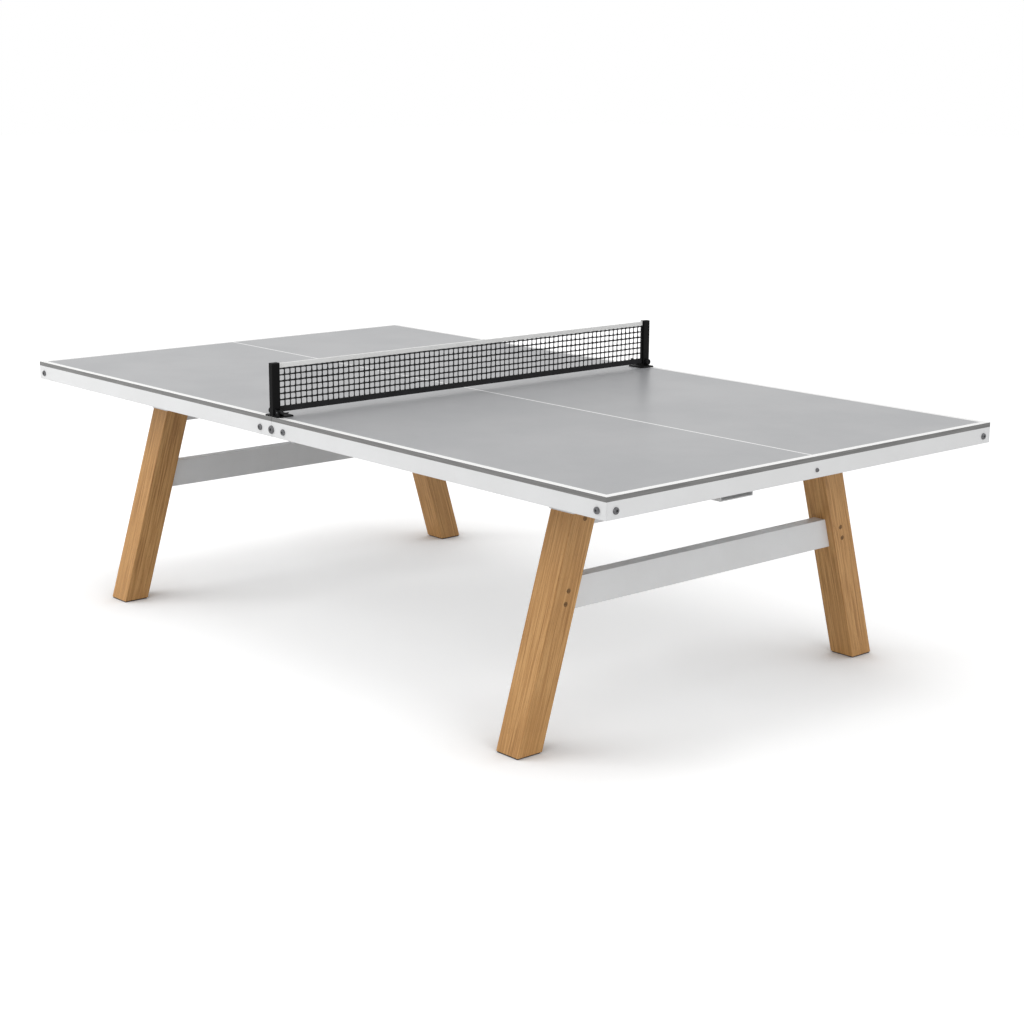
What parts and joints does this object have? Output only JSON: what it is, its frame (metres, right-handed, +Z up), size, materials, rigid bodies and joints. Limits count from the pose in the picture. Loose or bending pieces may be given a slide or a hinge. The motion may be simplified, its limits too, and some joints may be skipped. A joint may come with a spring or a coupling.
{
  "type": "table tennis table",
  "caption": "Fixed full-size table tennis table: grey top with white lines, white steel frame, splayed timber legs, box beams and a lift-off net set.",
  "frame": {"origin": "on the floor, at the middle of the table", "axes": "+X along the length, to the right; +Y across the width, to the back; +Z up"},
  "size_m": [2.75, 1.535, 0.9145],
  "materials": {
    "laminate_board": "matte sprayed laminate, grey",
    "oiled_timber": "oiled straight-grained hardwood",
    "black_net": "knotted polyester net, black",
    "white_tape": "woven polyester tape, white",
    "net_cord": "braided cord",
    "rubber_pad": "matte",
    "black_steel": "black powder coat",
    "black_plastic": "black nylon",
    "socket_brass": "turned",
    "fastener_steel": "dark zinc",
    "white_frame": "white powder coat"
  },
  "bodies": {
    "table": {"beam_end_plates": "white_frame", "bearer_back_left": "white_frame", "bearer_back_right": "white_frame", "bearer_front_left": "white_frame", "bearer_front_right": "white_frame", "board_pads": "rubber_pad", "board_screws": "fastener_steel", "centre_bearer_left": "white_frame", "centre_bearer_right": "white_frame", "corner_bolts": "fastener_steel", "corner_brackets": "white_frame", "cross_dowels": "fastener_steel", "end_rail_bolts": "fastener_steel", "end_rail_left": "white_frame", "end_rail_right": "white_frame", "foot_glides": "black_plastic", "leg_back_left": "oiled_timber", "leg_back_right": "oiled_timber", "leg_front_left": "oiled_timber", "leg_front_right": "oiled_timber", "leg_shoe_back_left": "white_frame", "leg_shoe_back_right": "white_frame", "leg_shoe_front_left": "white_frame", "leg_shoe_front_right": "white_frame", "lower_beam_left": "white_frame", "lower_beam_right": "white_frame", "mid_member_left": "white_frame", "mid_member_right": "white_frame", "net_socket_back": "socket_brass", "net_socket_front": "socket_brass", "playing_board_left": "laminate_board", "playing_board_right": "laminate_board", "rail_nuts": "fastener_steel", "saddle_left": "white_frame", "saddle_right": "white_frame", "seam_plate": "white_frame", "shoe_screws": "fastener_steel", "side_rail_back_left": "white_frame", "side_rail_back_right": "white_frame", "side_rail_front_left": "white_frame", "side_rail_front_right": "white_frame", "splice_bolts": "fastener_steel", "splice_plates": "white_frame", "upper_beam_left": "white_frame", "upper_beam_right": "white_frame"},
    "net_set": {"net_post_front": "black_steel", "net_post_back": "black_steel", "net_foot_front": "black_steel", "net_foot_back": "black_steel", "post_caps": "black_plastic", "lever_pins": "fastener_steel", "net_mesh": "black_net", "net_tape": "white_tape", "net_bottom_band": "black_net", "net_cord": "net_cord"},
    "lever_front": {"lock_lever_front": "black_steel"},
    "knob_front": {"tension_knob_front": "black_plastic"},
    "lever_back": {"lock_lever_back": "black_steel"},
    "knob_back": {"tension_knob_back": "black_plastic"}
  },
  "joints": [
    {"name": "net_lift", "type": "slide", "parent": "table", "child": "net_set", "axis": [0, 0, 1], "range_m": [0, 0.06]},
    {"name": "lever_swing_front", "type": "hinge", "parent": "net_set", "child": "lever_front", "pos_m": [0.021, -0.749, 0.774], "axis": [0, -1, 0], "range_deg": [0, 90]},
    {"name": "knob_turn_front", "type": "hinge", "parent": "net_set", "child": "knob_front", "pos_m": [-0.015, -0.749, 0.776], "axis": [-1, 0, 0], "continuous": true},
    {"name": "lever_swing_back", "type": "hinge", "parent": "net_set", "child": "lever_back", "pos_m": [-0.021, 0.749, 0.774], "axis": [0, 1, 0], "range_deg": [0, 90]},
    {"name": "knob_turn_back", "type": "hinge", "parent": "net_set", "child": "knob_back", "pos_m": [0.015, 0.749, 0.776], "axis": [1, 0, 0], "continuous": true}
  ]
}
